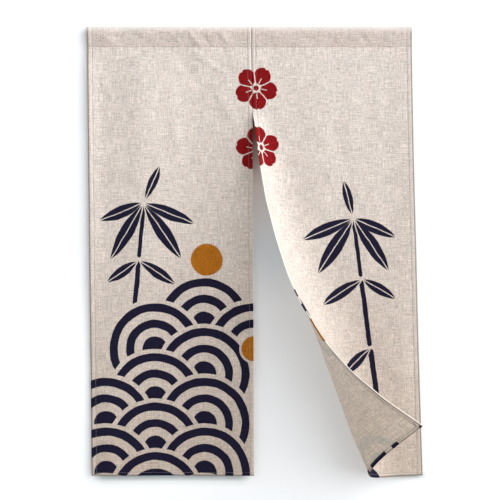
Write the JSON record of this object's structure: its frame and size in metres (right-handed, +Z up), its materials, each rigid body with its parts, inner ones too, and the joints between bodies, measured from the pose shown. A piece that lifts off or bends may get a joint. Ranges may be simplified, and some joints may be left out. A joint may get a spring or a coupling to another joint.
{
  "type": "noren curtain",
  "caption": "Linen-look doorway curtain in two panels with a rod pocket along the top and a centre slit, the right panel swept open so that its corner rolls over.",
  "frame": {"origin": "middle of the curtain's top edge, on the line where a rod holds it up", "axes": "+X to the viewer's right along the top edge, -Y towards the viewer, +Z up"},
  "size_m": [0.88, 0.2315, 1.1753],
  "materials": {
    "linen": "matte woven cloth"
  },
  "bodies": {
    "root": {"left_panel": "linen", "right_panel": "linen", "left_sleeve": "linen", "right_sleeve": "linen"}
  },
  "joints": []
}
